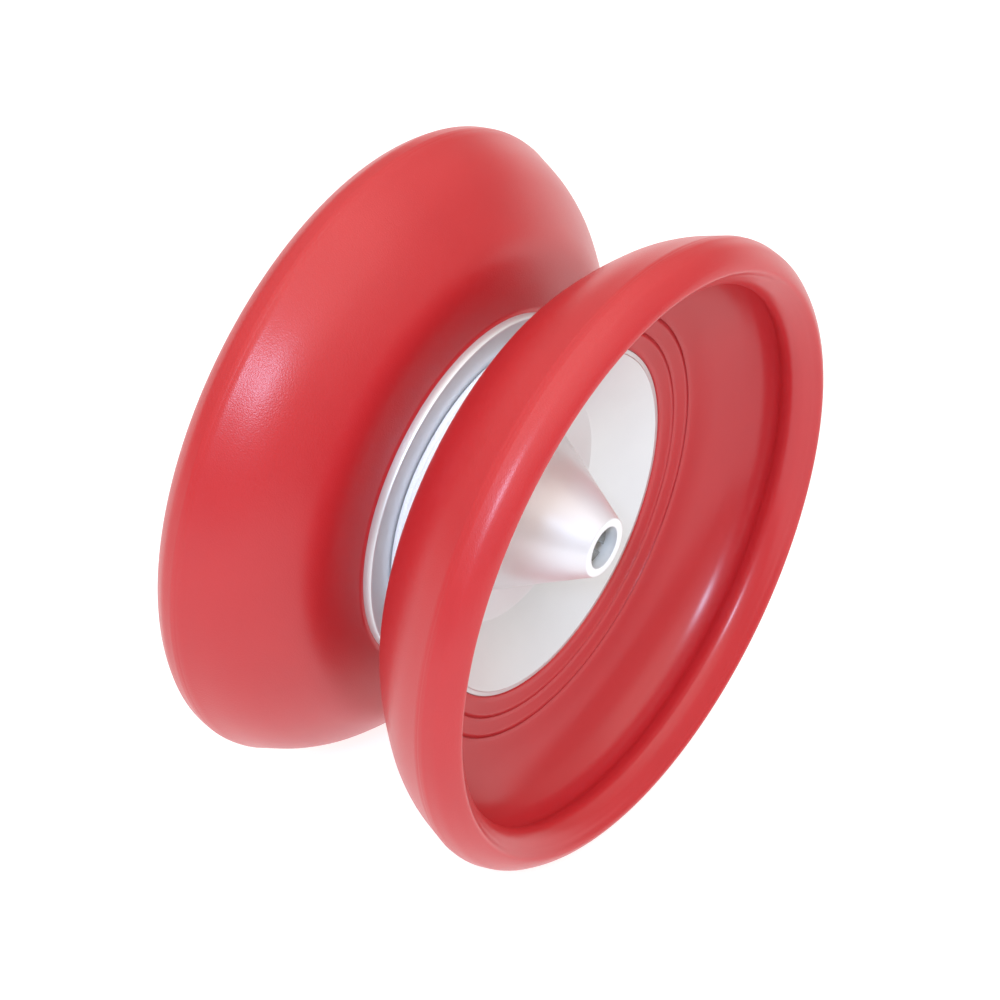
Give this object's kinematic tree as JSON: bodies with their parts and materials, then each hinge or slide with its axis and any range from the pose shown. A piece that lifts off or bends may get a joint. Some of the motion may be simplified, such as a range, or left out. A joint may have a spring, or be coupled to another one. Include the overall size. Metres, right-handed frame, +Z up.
{
  "type": "yo yo",
  "caption": "Butterfly yo-yo: flared soft rims on metal hubs, joined by a threaded axle with a ball bearing and a wound string.",
  "frame": {"origin": "middle of the axle, on the mid-plane of the string gap", "axes": "+Y along the spin axis from the front half to the back half, +Z up as the toy stands on the widest ring of both rims"},
  "size_m": [0.075, 0.04, 0.075],
  "materials": {
    "soft_rim": "moulded translucent red elastomer, fine-blasted flanks and glossy cups",
    "turned_aluminium": "face-turned and clear anodised",
    "blasted_aluminium": "bead-blasted and clear anodised",
    "axle_steel": "nickel-plated thread",
    "bearing_steel": "ground stainless bearing steel",
    "brass": "turned",
    "cage_nylon": "moulded nylon",
    "silicone": "cast silicone",
    "string": "two-ply twisted white string"
  },
  "bodies": {
    "back_half": {"back_rim": "soft_rim", "back_hub": "turned_aluminium", "back_cone_nut": "blasted_aluminium", "back_friction_ring": "silicone", "back_spacer": "brass", "axle": "axle_steel", "inner_race": "bearing_steel"},
    "string_spool": {"outer_race": "bearing_steel", "front_bearing_shield": "bearing_steel", "back_bearing_shield": "bearing_steel", "front_snap_ring": "bearing_steel", "back_snap_ring": "bearing_steel", "string_winding": "string", "string_knot": "string"},
    "ball_set": {"ball_cage": "cage_nylon", "ball_1": "bearing_steel", "ball_2": "bearing_steel", "ball_3": "bearing_steel", "ball_4": "bearing_steel", "ball_5": "bearing_steel", "ball_6": "bearing_steel", "ball_7": "bearing_steel", "ball_8": "bearing_steel"},
    "loose_spacer": {"front_spacer": "brass"},
    "front_half": {"front_rim": "soft_rim", "front_hub": "turned_aluminium", "front_cone_nut": "blasted_aluminium", "front_friction_ring": "silicone"}
  },
  "joints": [
    {"name": "bearing_spin", "type": "hinge", "parent": "back_half", "child": "string_spool", "pos_m": [0, 0, 0], "axis": [0, 1, 0], "continuous": true},
    {"name": "cage_spin", "type": "hinge", "parent": "back_half", "child": "ball_set", "pos_m": [0, 0, 0], "axis": [0, 1, 0], "continuous": true},
    {"name": "front_screw", "type": "hinge", "parent": "back_half", "child": "loose_spacer", "pos_m": [0, 0, 0], "axis": [0, -1, 0], "range_deg": [0, 3960]},
    {"name": "front_travel", "type": "slide", "parent": "loose_spacer", "child": "front_half", "axis": [0, -1, 0], "range_m": [0, 0.00881]}
  ],
  "couplings": [
    {"joint": "cage_spin", "follows": "bearing_spin", "ratio": 0.583},
    {"joint": "front_travel", "follows": "front_screw", "m_per_rad": 0.00012732}
  ]
}
